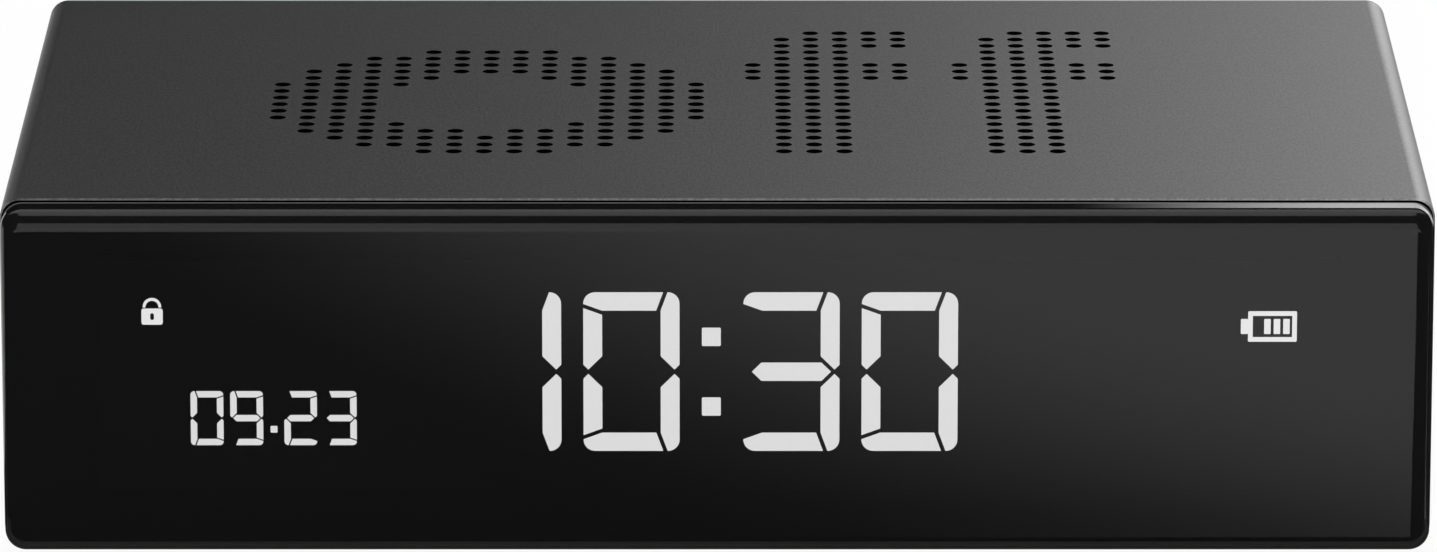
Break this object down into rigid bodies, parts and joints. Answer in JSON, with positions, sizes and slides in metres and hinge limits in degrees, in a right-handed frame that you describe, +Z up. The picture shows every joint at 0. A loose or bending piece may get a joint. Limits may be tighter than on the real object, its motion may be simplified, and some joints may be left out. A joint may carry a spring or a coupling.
{
  "type": "digital alarm clock",
  "caption": "Flip-over digital alarm clock: rounded aluminium sleeve perforated with switch words, gloss front lens over a segment display, rear keys, lock slider and charging socket.",
  "frame": {"origin": "middle of the footprint, on the surface that the clock lies on", "axes": "+X to the right seen from the display, +Y to the back, +Z up"},
  "size_m": [0.12, 0.075, 0.03],
  "materials": {
    "anodised_sleeve": "bead blasted, anodised dark grey",
    "acoustic_cloth": "fine black weave",
    "smoked_lens": "polished, smoked",
    "bonding_tape": "foam tape",
    "frame_plastic": "moulded, fine texture",
    "display_glass": "polished, dark",
    "guide_plastic": "clear, frosted",
    "lamp_resin": "clear resin",
    "contact_rubber": "striped elastomer",
    "circuit_board": "solder mask",
    "screw_steel": "zinc plated",
    "black_screw": "black zinc",
    "foam_rubber": "open foam",
    "basket_steel": "stamped",
    "cone_paper": "pressed pulp",
    "magnet_steel": "plated",
    "wire_jacket": "smooth",
    "battery_foil": "laminated pouch",
    "battery_tape": "adhesive film",
    "connector_plastic": "moulded",
    "chip_plastic": "moulded",
    "crystal_steel": "drawn can",
    "ribbon_film": "laminated film",
    "socket_steel": "nickel plated",
    "socket_plastic": "moulded",
    "switch_plastic": "moulded",
    "plunger_plastic": "moulded",
    "key_plastic": "moulded, satin",
    "switch_steel": "tin plated",
    "tilt_steel": "drawn can",
    "ball_brass": "polished"
  },
  "bodies": {
    "housing": {"sleeve": "anodised_sleeve", "top_mesh": "acoustic_cloth", "bottom_mesh": "acoustic_cloth", "front_lens": "smoked_lens", "lens_tape": "bonding_tape", "front_frame": "frame_plastic", "lcd_front_glass": "display_glass", "lcd_rear_glass": "display_glass", "light_guide": "guide_plastic", "backlight_leds": "lamp_resin", "zebra_strip": "contact_rubber", "display_board": "circuit_board", "display_screws": "screw_steel", "frame_screws": "screw_steel", "chassis": "frame_plastic", "speaker_gasket": "foam_rubber", "speaker_basket": "basket_steel", "speaker_cone": "cone_paper", "speaker_magnet": "magnet_steel", "speaker_lead": "wire_jacket", "battery_cell": "battery_foil", "battery_tape": "battery_tape", "battery_lead": "wire_jacket", "battery_plug": "connector_plastic", "main_board": "circuit_board", "board_screws": "screw_steel", "controller_chip": "chip_plastic", "quartz_crystal": "crystal_steel", "display_socket": "connector_plastic", "main_socket": "connector_plastic", "ribbon_cable": "ribbon_film", "usb_shell": "socket_steel", "usb_tongue": "socket_plastic", "tact_bodies": "switch_plastic", "slide_switch_body": "switch_steel", "tilt_base": "switch_plastic", "tilt_can": "tilt_steel", "rear_cover": "frame_plastic", "rear_screws": "black_screw"},
    "set_button": {"set_key": "key_plastic", "set_plunger": "plunger_plastic"},
    "alarm_button": {"alarm_key": "key_plastic", "alarm_plunger": "plunger_plastic"},
    "minus_button": {"minus_key": "key_plastic", "minus_plunger": "plunger_plastic"},
    "plus_button": {"plus_key": "key_plastic", "plus_plunger": "plunger_plastic"},
    "lock_knob": {"lock_slider": "key_plastic"},
    "tilt_weight": {"tilt_ball": "ball_brass"}
  },
  "joints": [
    {"name": "set_press", "type": "slide", "parent": "housing", "child": "set_button", "axis": [0, -1, 0], "range_m": [0, 0.0005], "stiffness_N_per_m": 2000},
    {"name": "alarm_press", "type": "slide", "parent": "housing", "child": "alarm_button", "axis": [0, -1, 0], "range_m": [0, 0.0005], "stiffness_N_per_m": 2000},
    {"name": "minus_press", "type": "slide", "parent": "housing", "child": "minus_button", "axis": [0, -1, 0], "range_m": [0, 0.0005], "stiffness_N_per_m": 2000},
    {"name": "plus_press", "type": "slide", "parent": "housing", "child": "plus_button", "axis": [0, -1, 0], "range_m": [0, 0.0005], "stiffness_N_per_m": 2000},
    {"name": "lock_slide", "type": "slide", "parent": "housing", "child": "lock_knob", "axis": [1, 0, 0], "range_m": [0, 0.003]},
    {"name": "tilt_drop", "type": "slide", "parent": "housing", "child": "tilt_weight", "axis": [0, 0, 1], "range_m": [0, 0.003]}
  ]
}
